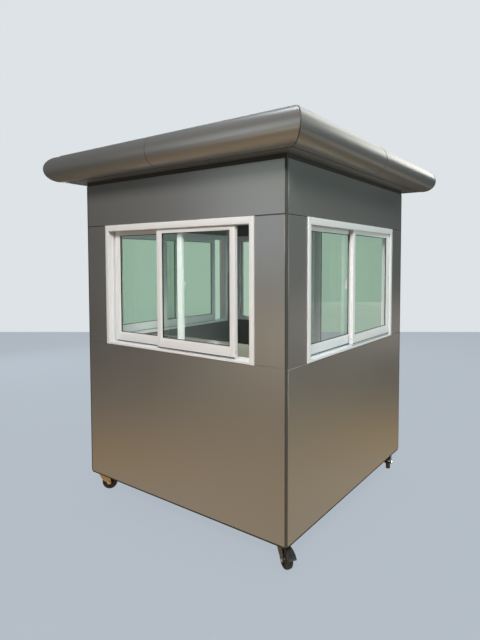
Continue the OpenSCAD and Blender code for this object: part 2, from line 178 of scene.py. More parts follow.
def set_in_corners(low, high, set_in):
    """The corners of a rectangle, each moved inwards on the slant by every one of some distances:
    one row for each corner, one column for each distance."""
    corners, inward = np.array(square(*low, *high)), np.array(square(1, 1, -1, -1))
    return corners[:, None] + inward[:, None] * np.asarray(set_in)[None, :, None]


# %% Bars, frames and turned parts
AXES = {"along": (1, 2, 0), "up": (0, 1, 2), "inward": (0, 2, 1)}


def bar(section, start, stop, material, way="along"):
    """A closed section carried in a straight line. Start and stop are numbers, or one number
    for each point of the section where the end is cut on a slant."""
    section = np.asarray(section, float)
    ends = [np.broadcast_to(np.asarray(end, float), len(section)) for end in (start, stop)]
    first, second, third = AXES[way]
    points = np.zeros((2, len(section), 3))
    points[..., first] = section[:, 0]
    points[..., second] = section[:, 1]
    points[..., third] = np.stack(ends)
    faces = [grid_faces(2, len(section), wrap_columns=True), *end_caps(2, len(section))]
    return points.reshape(-1, 3), faces, material


def frame_ring(section, low, high, material):
    """A section carried round a rectangle with mitred corners. The section's first number is
    how far in from the rectangle's edge it lies, its second how far inward into the wall."""
    section = np.asarray(section, float)
    points = np.zeros((4, len(section), 3))
    points[..., 0::2] = set_in_corners(low, high, section[:, 0])
    points[..., 1] = section[None, :, 1]
    faces = [grid_faces(4, len(section), wrap_rows=True, wrap_columns=True)]
    return points.reshape(-1, 3), faces, material


def soft_block(low, high, radius, material, steps=2):
    """A box with rounded edges: each point of a small ball, r (cos u cos v, sin u cos v, sin v),
    is moved out to the corner of the inner box that lies in its own eighth."""
    low, high = np.minimum(low, high), np.maximum(low, high)
    radius = min(radius, 0.49 * float((high - low).min()))
    quarter = np.linspace(0, np.pi / 2, steps + 1)
    u = (np.arange(4)[:, None] * np.pi / 2 + quarter[None, :]).ravel()
    v = np.concatenate([quarter - np.pi / 2, quarter])
    side_x = np.repeat([1, -1, -1, 1], steps + 1)
    side_y = np.repeat([1, 1, -1, -1], steps + 1)
    side_z = np.repeat([-1, 1], steps + 1)
    around, upward = np.meshgrid(u, v)
    ball = np.stack([np.cos(upward) * np.cos(around), np.cos(upward) * np.sin(around),
                     np.sin(upward)], axis=-1)
    side = np.stack(np.broadcast_arrays(side_x[None], side_y[None], side_z[:, None]), axis=-1)
    inner = (high - low) / 2 - radius
    points = (low + high) / 2 + side * inner + radius * ball
    rows, columns = len(v), len(u)
    faces = grid_faces(rows, columns, wrap_columns=True)
    flat = np.arange(4) * (steps + 1)
    caps = [flat[None, ::-1], (rows - 1) * columns + flat[None, :]]
    return merged(points.reshape(-1, 3), [faces, *caps], material)


def merged(points, faces, material):
    """Joins points that lie on each other, and drops the corners and faces that this empties."""
    keys = np.round(points * 1e6).astype(np.int64)
    _, first, back = np.unique(keys, axis=0, return_index=True, return_inverse=True)
    back = back.reshape(-1)
    kept = {}
    for block in faces:
        for row in back[block].tolist():
            ring = [c for k, c in enumerate(row) if c != row[k - 1]]
            if len(ring) > 2:
                kept.setdefault(len(ring), []).append(ring)
    return points[first], [np.array(rows) for rows in kept.values()], material


def turned_part(profile, centre, axis, material, sides=32, ring=False):
    """A profile of (radius, height) turned about an axis: every point goes round a circle.
    A ring's profile is closed on itself, any other gets a flat disc at both ends."""
    profile = np.asarray(profile, float)
    axis = np.asarray(axis, float) / np.linalg.norm(axis)
    helper = np.array([0.0, 0.0, 1.0]) if abs(axis[2]) < 0.9 else np.array([1.0, 0.0, 0.0])
    across = np.cross(helper, axis)
    across /= np.linalg.norm(across)
    third = np.cross(axis, across)
    t = np.linspace(0, 2 * np.pi, sides, endpoint=False)
    spoke = np.cos(t)[:, None] * across + np.sin(t)[:, None] * third
    points = (np.asarray(centre, float) + profile[:, None, 1:] * axis
              + profile[:, None, :1] * spoke[None, :, :])
    faces = [grid_faces(len(profile), sides, wrap_rows=ring, wrap_columns=True)]
    if not ring:
        faces += end_caps(len(profile), sides)
    return points.reshape(-1, 3), faces, material


def bent_tube(path, radius, flat_normal, material, sides=16):
    """A round tube along a path that lies in one plane: each ring of points is
    p + r (cos t n + sin t m), with n the plane's normal and m square to the path."""
    path = np.asarray(path, float)
    along = np.gradient(path, axis=0)
    along /= np.linalg.norm(along, axis=1, keepdims=True)
    normal = np.asarray(flat_normal, float)
    side = np.cross(along, normal)
    t = np.linspace(0, 2 * np.pi, sides, endpoint=False)
    points = (path[:, None] + radius * (np.cos(t)[None, :, None] * normal
                                        + np.sin(t)[None, :, None] * side[:, None]))
    faces = [grid_faces(len(path), sides, wrap_columns=True), *end_caps(len(path), sides)]
    return points.reshape(-1, 3), faces, material


print("shape helpers ready")

# %% [markdown]
# ## Finishes
# All colours are made by nodes from the place on the piece, so that sheets differ slightly and
# no surface is one flat tone. `finish` makes the shared start of each: a principled shader
# whose colour and roughness drift with soft noise, and a bump for the texture of the coat.

# %% Nodes and the shared start of a finish
def feed(owner, node, inputs):
    """Gives a node its inputs, each of them a value or the output of another node."""
    for key, value in inputs.items():
        if isinstance(value, bpy.types.NodeSocket):
            owner.node_tree.links.new(value, node.inputs[key])
        else:
            node.inputs[key].default_value = value
    return node


def add_node(owner, kind, inputs):
    """A new node in a material or a world."""
    return feed(owner, owner.node_tree.nodes.new("ShaderNode" + kind), inputs)


def blend(owner, factor, first, second):
    """A node that goes from one colour to another as its factor goes from 0 to 1."""
    node = add_node(owner, "Mix", {})
    node.data_type = "RGBA"
    return feed(owner, node, {"Factor": factor, "A": first, "B": second}).outputs["Result"]


def noise(material, vector, size, detail):
    """The grey output of a noise texture with that many patches per metre."""
    inputs = {"Scale": size, "Detail": detail, "Vector": vector}
    return add_node(material, "TexNoise", inputs).outputs["Fac"]


def span(material, value, low, high, from_low=0.3, from_high=0.7):
    """Stretches a grey value onto a range of numbers."""
    inputs = {"Value": value, "From Min": from_low, "From Max": from_high,
              "To Min": low, "To Max": high}
    return add_node(material, "MapRange", inputs).outputs["Result"]


def bump(material, strength, distance, height):
    """A node that tilts the surface by the slope of a grey height."""
    inputs = {"Strength": strength, "Distance": distance, "Height": height}
    return add_node(material, "Bump", inputs)


def blank_material(name):
    """A material with its principled shader and the place on the piece."""
    material = bpy.data.materials.new(name)
    material.use_nodes = True
    where = add_node(material, "TexCoord", {}).outputs["Object"]
    return material, material.node_tree.nodes["Principled BSDF"], where


def finish(name, colour, drift=0.06, drift_size=2.0, rough=0.4, rough_drift=0.05, metallic=0.0,
           grain_size=900.0, grain=0.02, stretch=(1.0, 1.0, 1.0), warp_size=0.0, warp=0.0):
    """A material whose colour is multiplied by 1 +- drift, and whose surface has a fine grain
    and, where warp is set, the long shallow waves of thin sheet."""
    material, shader, where = blank_material(name)
    stretched = add_node(material, "Mapping", {"Vector": where, "Scale": stretch})
    stretched = stretched.outputs["Vector"]
    cloud = noise(material, stretched, drift_size, 3)
    tone = blend(material, cloud, (*[c * (1 - drift) for c in colour], 1),
                 (*[min(1, c * (1 + drift)) for c in colour], 1))
    coat = bump(material, grain, 0.0004, noise(material, stretched, grain_size, 2))
    if warp:
        wave = bump(material, warp, 0.01, noise(material, where, warp_size, 1))
        feed(material, coat, {"Normal": wave.outputs["Normal"]})
    feed(material, shader, {
        "Base Color": tone, "Metallic": metallic, "Normal": coat.outputs["Normal"],
        "Roughness": span(material, cloud, rough - rough_drift, rough + rough_drift)})
    return material


# %% The finishes of the booth
CLADDING = finish("satin_grey_cladding", (0.33, 0.325, 0.315), drift=0.03, drift_size=1.3,
                  rough=0.34, rough_drift=0.02, metallic=0.7, grain_size=1400, warp_size=1.6,
                  warp=0.06)
LINING = finish("grey_wall_lining", (0.16, 0.16, 0.155), rough=0.55, grain_size=700, grain=0.05)
DARK = finish("dark_steel_paint", (0.042, 0.042, 0.038), drift=0.15, drift_size=6, rough=0.5,
              grain=0.06)
SEALANT = finish("grey_sealant", (0.052, 0.052, 0.046), rough=0.6, drift_size=12,
                 grain_size=300, grain=0.15)
WHITE = finish("white_powder_coat", (0.77, 0.785, 0.80), drift=0.025, drift_size=5, rough=0.33,
               rough_drift=0.04, grain_size=1100, grain=0.05)
RUBBER = finish("black_gasket", (0.015, 0.015, 0.015), rough=0.65, grain=0.1)
STEEL = finish("brushed_steel", (0.58, 0.58, 0.57), drift=0.08, drift_size=40, rough=0.3,
               metallic=1.0, grain_size=600, grain=0.08, stretch=(1, 1, 0.05))
ZINC = finish("yellow_zinc", (0.47, 0.37, 0.21), drift=0.25, drift_size=55, rough=0.34,
              rough_drift=0.1, metallic=1.0, grain=0.08)
BLACK_STEEL = finish("black_steel", (0.022, 0.022, 0.022), drift=0.2, drift_size=40, rough=0.38,
                     grain=0.1)
TYRE = finish("black_tyre", (0.016, 0.016, 0.016), drift=0.3, drift_size=60, rough=0.62,
              grain_size=1500, grain=0.3)
HUB = finish("nylon_hub", (0.03, 0.03, 0.031), drift=0.1, drift_size=50, rough=0.45, grain=0.1)
PALE_SHEET = finish("pale_roof_sheet", (0.46, 0.46, 0.44), drift_size=2.2, rough=0.42,
                    metallic=0.5, grain=0.04, warp_size=1.2, warp=0.1)
FLOOR_VINYL = finish("floor_vinyl", (0.17, 0.16, 0.145), drift=0.2, drift_size=70, rough=0.5,
                     grain_size=400, grain=0.15)
LAMINATE = finish("laminate_top", (0.24, 0.21, 0.15), drift=0.14, drift_size=14, rough=0.42,
                  grain_size=260, grain=0.06, stretch=(0.12, 1.0, 1.0))


def clear_glass(name, tint):
    """Float glass bends and mirrors light by its index, and takes a little red out of it. Rays
    from lamps go straight through, which a path tracer would otherwise hardly manage, and a
    long shallow wave keeps the reflections from being dead flat."""
    material, shader, where = blank_material(name)
    wave = bump(material, 0.02, 0.002, noise(material, where, 4.0, 1))
    feed(material, shader, {
        "Base Color": (*tint, 1), "Roughness": 0.0, "IOR": 1.45, "Transmission Weight": 1.0,
        "Normal": wave.outputs["Normal"]})
    through = add_node(material, "BsdfTransparent", {"Color": (*[c ** 0.5 for c in tint], 1)})
    either = add_node(material, "MixShader", {
        "Fac": add_node(material, "LightPath", {}).outputs["Is Shadow Ray"],
        1: shader.outputs["BSDF"], 2: through.outputs["BSDF"]})
    surface = material.node_tree.nodes["Material Output"]
    feed(material, surface, {"Surface": either.outputs["Shader"]})
    return material


GLASS = clear_glass("float_glass", (0.79, 0.83, 0.80))
print("finishes", [m.name for m in bpy.data.materials])

# %% [markdown]
# ## The booth's own measures
# Every place comes from the working model. A wall is worked in its own three numbers: along
# it as seen from outside, inward from the face of the cladding, and up. Four small maps turn
# those into the booth's axes, so one wall's recipe serves them all.

# %% Measures
def low(node):
    """The lowest corner of a node's box."""
    return np.array(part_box(node)[0])


def high(node):
    """The highest corner of a node's box."""
    return np.array(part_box(node)[1])


JOINTS = {joint["name"]: joint["pos_m"] for joint in frame["joints"]}
HALF_W = high("right_lower_panel")[0]
HALF_D = -low("front_lower_panel")[1]
WALL_T = high("front_lower_panel")[1] + HALF_D
BASE_TOP = low("floor_board")[2]
FLOOR_TOP = high("floor_board")[2]
SKIRT_Z = low("front_lower_panel")[2]
SILL_Z = low("front_window_frame")[2]
HEAD_Z = high("front_window_frame")[2]
RAIL_Z = low("head_rails")[2]
WALL_TOP = low("soffit")[2]
CORNER_GAP = HALF_W - high("front_lower_panel")[0]
SKIN, SEAM = 0.004, 0.004
# Each: how the wall's own first axis is turned, and how far the wall's face is from the middle
WALLS = {"front": (1, 0, HALF_D), "right": (0, 1, HALF_W),
         "back": (-1, 0, HALF_D), "left": (0, -1, HALF_W)}


def on_wall(side):
    """A change of place from (along, inward, up) on a wall to the booth's axes: a turn of whole
    quarters about the upright axis after stepping out by half the booth."""
    c, s, reach = WALLS[side]

    def change(points):
        along, inward, up = points[:, 0], points[:, 1] - reach, points[:, 2]
        return np.stack([c * along - s * inward, s * along + c * inward, up], axis=-1)
    return change


def wall_piece(side, name, parts, stands_for, slot, body="root"):
    """A piece whose parts are given in a wall's own three numbers."""
    piece(name, moved(parts, on_wall(side)), body, slot, [stands_for])


print("half width", HALF_W, "half depth", HALF_D, "wall", WALL_T, "wall top", WALL_TOP)

# %% [markdown]
# ## Cladding
# Each sheet is folded: its face is flat and its edges roll back into the joint, which is why
# a bright line runs beside every dark joint. One rectangle carries the edge's section round,
# and the flat middle is a single face. Behind it lie the wall's core and the inner lining.

# %% Folded sheets
FOLD_R, LINING_FOLD_R, LINING_T = 0.0022, 0.0012, 0.003
# The second number is how far down the black strip of painted shadow under the lower sheets reaches.
GROOVE, FOOT_SHADOW_DROP = 0.0008, 0.008
# How far up the sheet and the core behind it reach: below, beside and above a window
LOWER = (SKIRT_Z, SILL_Z - SEAM / 2), (BASE_TOP, SILL_Z)
MIDDLE = (SILL_Z + SEAM / 2, HEAD_Z - SEAM / 2), (SILL_Z, HEAD_Z)
UPPER = (HEAD_Z + SEAM / 2, RAIL_Z), (HEAD_Z, RAIL_Z)


def folded_sheet(along, up, face, back, radius, material):
    """A tray with its face at `face` and its edges rolled back to `back`: rings of the
    rectangle, each set in by r (1 - cos t) and back by r (1 - sin t)."""
    t = np.linspace(0, np.pi / 2, 6)
    sign = 1 if back > face else -1
    set_in = np.concatenate([[0.0], radius * (1 - np.cos(t))])
    depth = np.concatenate([[back], face + sign * radius * (1 - np.sin(t))])
    corners = set_in_corners((along[0], up[0]), (along[1], up[1]), set_in)
    points = np.zeros((len(depth), 4, 3))
    points[..., 0::2] = corners.swapaxes(0, 1)
    points[..., 1] = depth[:, None]
    faces = [grid_faces(len(depth), 4, wrap_columns=True), *end_caps(len(depth), 4)]
    return points.reshape(-1, 3), faces, material


def front_sheet(along, up):
    """One sheet of the cladding."""
    return folded_sheet(along, up, 0.0, SKIN, FOLD_R, CLADDING)


def clad_part(along, core_along, heights):
    """Outer sheet, core and inner lining of one stretch of wall."""
    (sheet_up, core_up), behind = heights, WALL_T - LINING_T
    return [front_sheet(along, sheet_up),
            bar(square(SKIN, core_up[0], behind, core_up[1]), *core_along, SEALANT),
            folded_sheet(core_along, core_up, WALL_T, behind, LINING_FOLD_R, LINING)]


def sill_groove(start, stop):
    """The joint at sill height is closed by a strip of the same sheet just behind the faces, so
    only a shallow groove is left."""
    return bar(square(GROOVE, SILL_Z - SEAM / 2, SKIN, SILL_Z + SEAM / 2), start, stop, CLADDING)


def foot_shadow_strip(start, stop):
    """A black strip under the sheet's lower edge, just behind its face and in front of the base
    rail: painted shadow for the shade beneath the sheet's edge.
    """
    return bar(square(0.001, SKIRT_Z - FOOT_SHADOW_DROP, 0.006, SKIRT_Z), start, stop, RUBBER)


def window_half(side):
    """Half the width of the window in the middle of a wall."""
    size = high(f"{side}_window_frame") - low(f"{side}_window_frame")
    return size[0 if side == "front" else 1] / 2


def build_window_wall(side, span_half):
    """The three stretches of a wall with a window in its middle."""
    face, core, win = span_half - CORNER_GAP, span_half - WALL_T, window_half(side)
    stretches = {
        # The lower sheet gets a black strip of painted shadow along its foot.
        "lower_panel": clad_part((-face, face), (-core, core), LOWER) + [foot_shadow_strip(-face, face)],
        "upper_panel": clad_part((-face, face), (-core, core), UPPER),
        "side_panels": clad_part((-face, -win), (-core, -win), MIDDLE)
        + clad_part((win, face), (win, core), MIDDLE)
        + [sill_groove(-face, -win), sill_groove(win, face)],
    }
    for name, parts in stretches.items():
        wall_piece(side, f"{side}_{name}_skin", parts, f"{side}_{name}", "cladding")


for wall_side, wall_half in (("front", HALF_W), ("right", HALF_D), ("left", HALF_D)):
    build_window_wall(wall_side, wall_half)

# %% Sealant in the corner joints
def build_corner_sealant():
    """A strip round each corner, from the edge of one sheet to the edge of the next: an L whose
    outer corner is an arc, set back a little from the sheets' faces."""
    back, edge, turn, fine = 0.0008, CORNER_GAP + 0.0006, 0.004, 0.0003
    outline = [(-edge, -back), (-back, -back), (-back, -edge), (-SKIN, -edge), (-SKIN, -SKIN),
               (-edge, -SKIN)]
    outline = rounded(outline, [fine, turn, fine, fine, fine, fine], 6) + [HALF_W, HALF_D]
    parts = [bar(outline * [side_x, side_y], SKIRT_Z + 0.001, RAIL_Z, SEALANT, "up")
             for side_x in (-1, 1) for side_y in (-1, 1)]
    piece("corner_sealant", parts, slot="dark_steel")


build_corner_sealant()

# %% The back wall
BACK_HALF = HALF_W - WALL_T
DOOR_X0, DOOR_X1 = -high("door_frame")[0], -low("door_frame")[0]


def build_back_wall():
    """Seen from outside the doorway is on the left and the fixed window on the right."""
    face = HALF_W - CORNER_GAP
    for name, heights in (("back_lower_panel", LOWER), ("back_upper_panel", UPPER)):
        parts = clad_part((DOOR_X1, face), (DOOR_X1, BACK_HALF), heights)
        wall_piece("back", f"{name}_skin", parts, name, "cladding")
    strips = [front_sheet((-face, DOOR_X0), (BASE_TOP + SEAM / 2, RAIL_Z)),
              front_sheet((-face, DOOR_X1 - SEAM), (SKIRT_Z, BASE_TOP - SEAM / 2)),
              front_sheet((BACK_HALF, face), MIDDLE[0])]
    wall_piece("back", "back_strips_skin", strips, "back_side_panels", "cladding")


build_back_wall()

# %% [markdown]
# ## Window frames
# The frames are white extrusions. The jambs run the full height and the head and sill fit
# between them. The sill has a low front lip and two ribs that the sash rollers run on, and the
# head and jambs have a channel for each sash, so a thin shadow shows all round a sash.

# %% Frame sections
JAMB_W, HEAD_H, SILL_H = 0.028, 0.038, 0.020
PROUD = -HALF_D - low("front_window_frame")[1]
FRAME_D = high("front_window_frame")[1] - low("front_window_frame")[1]
SASH_T = 0.023
TRACKS = {"outer": 0.008, "inner": 0.039}
JAMB_CHANNEL, HEAD_CHANNEL, TRACK_PLAY = 0.004, 0.010, 0.0015
EDGE, HAIR = 0.0012, 0.0003


def channel_section(face, depth):
    """Outline of a jamb or head: `face` wide, with a channel cut into its inner side at each
    track. The first number runs across the face, the second inward."""
    outline = [(0, -PROUD), (face, -PROUD)]
    for start in TRACKS.values():
        near, far = start - TRACK_PLAY, start + SASH_T + TRACK_PLAY
        outline += [(face, near), (face - depth, near), (face - depth, far), (face, far)]
    return np.array(outline + [(face, FRAME_D - PROUD), (0, FRAME_D - PROUD)])


def sill_section():
    """Outline of a sill: a low front lip, a sloping floor and one rib under each sash."""
    front, back = -PROUD, FRAME_D - PROUD
    lip, floor_h, rib, back_top = 0.013, 0.007, 0.0025, SILL_H - 0.002
    outline = [(front, 0), (front, lip), (front + 0.004, lip), (front + 0.006, floor_h)]
    for start in TRACKS.values():
        near, far = start + SASH_T / 2 - rib, start + SASH_T / 2 + rib
        outline += [(near, floor_h), (near, SILL_H), (far, SILL_H), (far, floor_h)]
    return np.array(outline + [(back - 0.004, floor_h), (back - 0.004, back_top),
                               (back, back_top), (back, 0)])


def window_frame_parts(a0, a1):
    """Two jambs, a head and a sill with hairline joints where they meet."""
    jamb = rounded(channel_section(JAMB_W, JAMB_CHANNEL), EDGE * 0.6, 2)
    head = rounded(channel_section(HEAD_H, HEAD_CHANNEL), EDGE * 0.6, 2)
    sill = rounded(sill_section(), EDGE * 0.5, 2)
    between = a0 + JAMB_W + HAIR, a1 - JAMB_W - HAIR
    return [bar(jamb + [a0, 0], SILL_Z, HEAD_Z, WHITE, "up"),
            bar(jamb * [-1, 1] + [a1, 0], SILL_Z, HEAD_Z, WHITE, "up"),
            bar(head[:, ::-1] * [1, -1] + [0, HEAD_Z], *between, WHITE),
            bar(sill + [0, SILL_Z], *between, WHITE)]


# %% [markdown]
# ## Sashes
# A sash has two full-height stiles, a tall bottom rail that hides the rollers and a slim top
# rail. A bead slopes down to the glass and a black gasket closes the gap. The screws that pull
# the corners together sit in small round holes in the edge of the stile, drawn as black discs:
# painted shade.

# %% Sash parts
STILE_W, BOTTOM_RAIL, TOP_RAIL, BEAD = 0.040, 0.058, 0.027, 0.009
SASH_Z0, SASH_Z1 = SILL_Z + SILL_H, HEAD_Z - HEAD_H
PANE_T, GASKET_T, BRUSH_H = 0.005, 0.0028, 0.0035
# A black disc standing for a screw hole: painted shade for the hole's dark inside.
HOLE_SHADE_DISC = [(0.0062, -0.002), (0.0062, 0.0002), (0.0054, 0.0003), (0.0050, -0.001)]


def bead_section(thick):
    """A bead on both faces of the glass: from the bar's edge it slopes down to the glass."""
    flat, lift, drop = 0.0012, 0.0006, 0.0045
    return np.array([(0, lift), (flat, lift), (BEAD, drop), (BEAD, thick - drop),
                     (flat, thick - lift), (0, thick - lift)])


def glazed_panel_parts(a0, a1, z0, z1, stile, bottom, top, face, thick):
    """Bars, bead and gaskets of one glazed panel whose front is at `face`."""
    back, glass = face + thick, face + (thick - PANE_T) / 2
    in0, in1, up0, up1 = a0 + stile - BEAD, a1 - stile + BEAD, z0 + bottom - BEAD, z1 - top + BEAD
    bead = rounded(bead_section(thick), 0.0006, 2) + [0, face]
    parts = [bar(rectangle(a0, face, in0, back, EDGE), z0, z1, WHITE, "up"),
             bar(rectangle(in1, face, a1, back, EDGE), z0, z1, WHITE, "up"),
             bar(rectangle(face, z0, back, up0, EDGE), in0 + HAIR, in1 - HAIR, WHITE),
             bar(rectangle(face, up1, back, z1, EDGE), in0 + HAIR, in1 - HAIR, WHITE),
             frame_ring(bead, (in0, up0), (in1, up1), WHITE)]
    for start in (glass - GASKET_T, glass + PANE_T):
        rubber = rectangle(BEAD - 0.001, start, BEAD + 0.0035, start + GASKET_T, 0.001)
        parts.append(frame_ring(rubber, (in0, up0), (in1, up1), RUBBER))
    return parts


def sash_parts(a0, a1, track):
    """One sash in its track, with black discs of painted shade for its corner screw holes, and the
    brush along its foot.
    """
    face = TRACKS[track]
    parts = glazed_panel_parts(a0, a1, SASH_Z0, SASH_Z1, STILE_W, BOTTOM_RAIL, TOP_RAIL, face,
                               SASH_T)
    brush = rectangle(face - 0.0004, SASH_Z0, face + SASH_T, SASH_Z0 + BRUSH_H, 0.0002)
    parts.append(bar(brush, a0 + 0.003, a1 - 0.003, RUBBER))
    for edge, way in ((a0, -1), (a1, 1)):
        for height in (SASH_Z0 + 0.030, SASH_Z1 - 0.016):
            centre = (edge + way * 0.0001, face + SASH_T * 0.45, height)
            # A black disc of painted shade in place of each screw hole.
            parts.append(turned_part(HOLE_SHADE_DISC, centre, (way, 0, 0), RUBBER, 20))
    return parts


# %% Crescent latch
LATCH_Z = (low("window_latches")[2] + high("window_latches")[2]) / 2


def latch_parts(along):
    """A base plate, a turning hub and a crescent lever that hooks the other sash. The crescent
    is the gap between two circles that are offset from each other."""
    inward, up = TRACKS["inner"] + SASH_T, LATCH_Z
    hub = [(0.0115, 0), (0.0115, 0.006), (0.010, 0.008), (0.006, 0.009)]
    crescent = np.concatenate([arc(0.019, (0, 0), -0.35, 0.75, 20),
                               arc(0.012, (0.006, 0.004), -0.35, 0.75, 20)[::-1]]) + [along, up]
    lever = rectangle(along - 0.004, up - 0.040, along + 0.004, up - 0.006, 0.003)
    return [soft_block((along - 0.008, inward, up - 0.035),
                       (along + 0.008, inward + 0.006, up + 0.035), 0.003, WHITE),
            turned_part(hub, (along, inward + 0.006, up), (0, 1, 0), WHITE, 32),
            bar(crescent, inward + 0.009, inward + 0.013, WHITE, "inward"),
            bar(lever, inward + 0.010, inward + 0.019, WHITE, "inward")]


# %% Build the sliding windows
SASH_OVERLAP, LEFT_OPEN = 0.056, 0.140


def sash_places(side):
    """Where the two sashes start and end along the wall, read from the working model."""
    box_low, box_high = low(f"{side}_window_sashes"), high(f"{side}_window_sashes")
    if side == "left":
        return -box_high[1], -box_low[1]
    axis = 0 if side == "front" else 1
    return box_low[axis], box_high[axis]


def build_sliding_window(side):
    """The frame and both sashes, the inner one further to the left as seen from outside. The
    left window's inner sash stands open by LEFT_OPEN. Gives back the latch's parts."""
    half = window_half(side)
    width = (2 * (half - JAMB_W) + SASH_OVERLAP) / 2
    first, last = sash_places(side)
    inner0 = LEFT_OPEN - (half - JAMB_W) if side == "left" else first
    outer0 = last - width
    wall_piece(side, f"{side}_window_frame_bars", window_frame_parts(-half, half),
               f"{side}_window_frame", "white_aluminium")
    sashes = sash_parts(inner0, inner0 + width, "inner") + sash_parts(outer0, last, "outer")
    wall_piece(side, f"{side}_window_sash_bars", sashes, f"{side}_window_sashes",
               "white_aluminium")
    return moved(latch_parts(inner0 + width - STILE_W / 2), on_wall(side))


latches = []
for wall_side in ("front", "right", "left"):
    latches += build_sliding_window(wall_side)
piece("crescent_latches", latches, slot="white_aluminium", stands_for=["window_latches"])

# %% The fixed back window
def build_back_window():
    """The same frame bars, with the pane held straight in them by a bead."""
    a0, a1 = -high("back_window_frame")[0], -low("back_window_frame")[0]
    parts = window_frame_parts(a0, a1)
    corner_low = (a0 + JAMB_W - 0.001, SASH_Z0 - 0.001)
    corner_high = (a1 - JAMB_W + 0.001, SASH_Z1 + 0.001)
    bead = rounded([(0, 0.030), (0.012, 0.034), (0.012, 0.039), (0, 0.039)], 0.0006, 2)
    back_bead = rounded([(0, 0.044), (0.012, 0.044), (0.012, 0.049), (0, 0.053)], 0.0006, 2)
    rubber = rectangle(0.011, 0.0362, 0.015, 0.039, 0.001)
    for section, material in ((bead, WHITE), (back_bead, WHITE), (rubber, RUBBER)):
        parts.append(frame_ring(section, corner_low, corner_high, material))
    wall_piece("back", "back_window_frame_bars", parts, "back_window_frame", "white_aluminium")


build_back_window()

# %% [markdown]
# ## The roof edge
# The edge is thin sheet bent to a half round and mitred at the corners. Each side is two
# lengths that butt in the middle, and the joints are sealed. A mitre is simple on a grid: the
# further out a point of the section lies, the further along the side its line runs.

# %% Fascia
ROOF_TOP = low("roof_sheet")[2]
NOSE_R = (ROOF_TOP - WALL_TOP) / 2
NOSE_OUT, SHEET, FLANGE = 0.110, 0.004, 0.026
JOINT, SEAM_R, SEAM_IN = 0.0045, 0.0030, 0.0018
MITRE_GAP = JOINT * 0.7


def nose_arc(radius):
    """The half round from its top to its foot, as steps outward and up."""
    return arc(radius, (NOSE_OUT, WALL_TOP + NOSE_R), 0.5, -0.5, 40)


def fascia_section():
    """Half round of sheet with a flat flange at the top and the bottom: the outer line goes
    down round the circle and the inner line comes back one sheet inside it."""
    back = NOSE_OUT - FLANGE
    return np.concatenate([[(back, ROOF_TOP)], nose_arc(NOSE_R),
                           [(back, WALL_TOP), (back, WALL_TOP + SHEET)],
                           nose_arc(NOSE_R - SHEET)[::-1], [(back, ROOF_TOP - SHEET)]])


def fascia_parts(span_half):
    """Two lengths, the sealant in their joints, and the dark reveal where the lower flange
    meets the soffit."""
    section, edge = fascia_section(), FLANGE - NOSE_OUT
    flat = section * [-1, 1]
    mitre = span_half + section[:, 0] - MITRE_GAP
    reveal = rectangle(edge, WALL_TOP - 0.0008, edge + 0.005, WALL_TOP + 0.002, 0.0002)
    away, up = nose_arc(NOSE_R - SEAM_IN).T
    seam = np.stack([np.zeros_like(away), -away, up], axis=1)
    corner = np.stack([span_half + away, -away, up], axis=1)
    slant = math.sqrt(0.5)
    return [bar(flat, JOINT / 2, mitre, CLADDING), bar(flat, -mitre, -JOINT / 2, CLADDING),
            bent_tube(seam, SEAM_R, (1, 0, 0), SEALANT, 8),
            bar(reveal, reveal[:, 0] - span_half, span_half - reveal[:, 0], RUBBER),
            bent_tube(corner, SEAM_R, (slant, slant, 0), SEALANT, 8)]


fascia = []
for wall_side in ("front", "right", "back", "left"):
    wall_half = HALF_W if wall_side in ("front", "back") else HALF_D
    fascia += moved(fascia_parts(wall_half), on_wall(wall_side))
piece("rounded_fascia", fascia, slot="cladding", stands_for=["fascia"])

# %% Roof sheet
def build_roof_sheet():
    """One sheet with a narrow rim standing round its upper edge."""
    lo, hi = low("roof_sheet"), high("roof_sheet")
    points, faces, material = frame_ring(rectangle(0, 0, 0.018, 0.0035, 0.0015), lo[:2], hi[:2],
                                         PALE_SHEET)
    rim = np.stack([points[:, 0], points[:, 2], hi[2] + points[:, 1]], axis=1)
    piece("roof_cover", [soft_block(lo, hi, 0.0014, PALE_SHEET), (rim, faces, material)],
          slot="pale_sheet", stands_for=["roof_sheet"])


build_roof_sheet()

# %% [markdown]
# ## The door
# The leaf is a glazed panel like a sash, with a pressed kick panel at its foot. It hangs on
# three butt hinges whose pins are set just outside the face, so it can swing right round.

# %% Door frame and leaf
DOOR_STILE, LEAF_T, STOP = 0.055, 0.040, 0.012
LEAF = (-high("door_glass")[0] - DOOR_STILE, -low("door_glass")[0] + DOOR_STILE)
LEAF_Z = (low("door_leaf")[2], high("door_leaf")[2])
GLASS_Z = (low("door_glass")[2], high("door_glass")[2])
PIN = (-JOINTS["door_hinge"][0], HALF_D - JOINTS["door_hinge"][1])
HINGE_HALF, HINGE_GAP, HINGE_INSET = 0.020, 0.0005, 0.180
HINGE_Z = (LEAF_Z[0] + HINGE_INSET, (LEAF_Z[0] + LEAF_Z[1]) / 2, LEAF_Z[1] - HINGE_INSET)
HINGE_SCREW = [(0.0042, 0), (0.0042, 0.0004), (0.0030, 0.0010), (0.0008, 0.0004)]
HINGE_PIN = [(0.0025, -0.0442), (0.004, -0.042), (0.004, 0.042), (0.0025, 0.0442)]


def hinge_half(side, z0, z1):
    """One hinge plate with its knuckle and, where it is long enough, two countersunk screws."""
    radius, soft, plate_w, plate_t = 0.008, 0.0006, 0.024, 0.003
    a, y = PIN
    back = y + radius + HINGE_GAP
    knuckle = [(radius - soft, z0), (radius, z0 + soft), (radius, z1 - soft), (radius - soft, z1)]
    parts = [turned_part(knuckle, (a, y, 0), (0, 0, 1), STEEL, 32),
             soft_block((a, back - plate_t, z0), (a + side * plate_w, back, z1), 0.0008, STEEL)]
    if z1 - z0 > 0.03:
        for height in ((z0 * 3 + z1) / 4, (z0 + z1 * 3) / 4):
            parts.append(turned_part(HINGE_SCREW, (a + side * 0.0165, back - plate_t, height),
                                     (0, -1, 0), STEEL, 20))
    return parts


